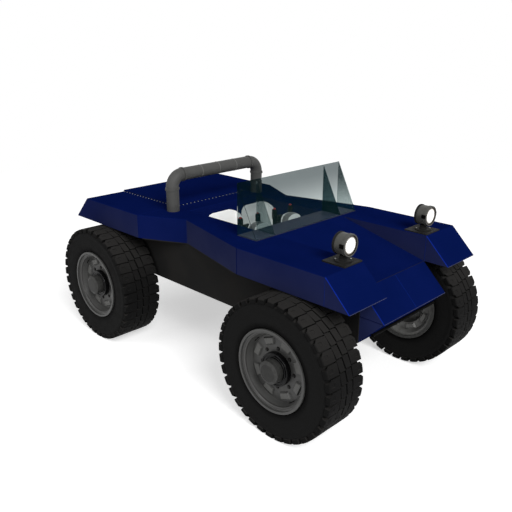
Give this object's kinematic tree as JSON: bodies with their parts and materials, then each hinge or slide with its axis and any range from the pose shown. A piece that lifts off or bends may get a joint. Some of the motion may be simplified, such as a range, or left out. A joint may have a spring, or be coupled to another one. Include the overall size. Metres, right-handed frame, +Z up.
{
  "type": "dune buggy",
  "caption": "Open two-seat dune buggy with a faceted navy body, roll bar, wedge windscreen and large off-road wheels that roll and steer.",
  "frame": {"origin": "on the ground, midway between the two axles, on the centre line", "axes": "+X forward, +Y to the vehicle's left, +Z up"},
  "size_m": [3.23, 1.994, 1.6349],
  "materials": {
    "body_blue": "satin navy paint",
    "tub_black": "matte black",
    "roll_bar_grey": "satin grey paint",
    "screen_glass": "clear, faint green tint",
    "sill_trim": "matte violet grey",
    "seat_shell": "satin light grey",
    "seat_pad": "light grey vinyl",
    "pod_grey": "satin light grey",
    "yoke_grey": "matte dark grey",
    "lamp_base": "satin black",
    "lamp_housing": "satin grey",
    "lens": "clear fluted",
    "chassis_steel": "satin black",
    "engine_metal": "cast",
    "rim_grey": "cast, satin",
    "tyre": "matte rubber",
    "hinge_steel": "bare"
  },
  "bodies": {
    "buggy_body": {"rear_deck": "body_blue", "left_side_deck": "body_blue", "right_side_deck": "body_blue", "roll_bar_deck": "body_blue", "cowl_deck": "body_blue", "left_fender": "body_blue", "right_fender": "body_blue", "hood": "body_blue", "nose_panel": "body_blue", "cockpit_tub": "tub_black", "engine_bay": "tub_black", "front_bay": "tub_black", "roll_bar": "roll_bar_grey", "windscreen_front_pane": "screen_glass", "windscreen_side_panes": "screen_glass", "windscreen_gussets": "screen_glass", "windscreen_sill": "sill_trim", "engine_block": "engine_metal", "cover_hinges": "hinge_steel", "lamp_lenses": "lens", "front_axle": "chassis_steel", "rear_axle": "chassis_steel", "left_seat_shell": "seat_shell", "left_seat_pad": "seat_pad", "left_control_pod": "pod_grey", "left_control_yoke": "yoke_grey", "left_lamp_base": "lamp_base", "left_lamp_housing": "lamp_housing", "right_seat_shell": "seat_shell", "right_seat_pad": "seat_pad", "right_control_pod": "pod_grey", "right_control_yoke": "yoke_grey", "right_lamp_base": "lamp_base", "right_lamp_housing": "lamp_housing"},
    "engine_cover": {"engine_cover": "body_blue"},
    "front_left_knuckle": {"front_left_knuckle": "chassis_steel"},
    "front_left_wheel": {"front_left_rim": "rim_grey", "front_left_tyre": "tyre"},
    "rear_left_wheel": {"rear_left_rim": "rim_grey", "rear_left_tyre": "tyre"},
    "front_right_knuckle": {"front_right_knuckle": "chassis_steel"},
    "front_right_wheel": {"front_right_rim": "rim_grey", "front_right_tyre": "tyre"},
    "rear_right_wheel": {"rear_right_rim": "rim_grey", "rear_right_tyre": "tyre"}
  },
  "joints": [
    {"name": "engine_cover_hinge", "type": "hinge", "parent": "buggy_body", "child": "engine_cover", "pos_m": [-0.606, 0, 1.2415], "axis": [0, 1, 0], "range_deg": [0, 60]},
    {"name": "front_right_steer", "type": "hinge", "parent": "buggy_body", "child": "front_right_knuckle", "pos_m": [1.1, -0.7, 0.515], "axis": [0, 0, 1], "range_deg": [-22, 22]},
    {"name": "front_left_steer", "type": "hinge", "parent": "buggy_body", "child": "front_left_knuckle", "pos_m": [1.1, 0.7, 0.515], "axis": [0, 0, 1], "range_deg": [-22, 22]},
    {"name": "front_left_spin", "type": "hinge", "parent": "front_left_knuckle", "child": "front_left_wheel", "pos_m": [1.1, 0.8, 0.515], "axis": [0, 1, 0], "continuous": true},
    {"name": "front_right_spin", "type": "hinge", "parent": "front_right_knuckle", "child": "front_right_wheel", "pos_m": [1.1, -0.8, 0.515], "axis": [0, 1, 0], "continuous": true},
    {"name": "rear_left_spin", "type": "hinge", "parent": "buggy_body", "child": "rear_left_wheel", "pos_m": [-1.1, 0.8, 0.515], "axis": [0, 1, 0], "continuous": true},
    {"name": "rear_right_spin", "type": "hinge", "parent": "buggy_body", "child": "rear_right_wheel", "pos_m": [-1.1, -0.8, 0.515], "axis": [0, 1, 0], "continuous": true}
  ],
  "couplings": [
    {"joint": "front_left_steer", "follows": "front_right_steer", "ratio": 1}
  ]
}
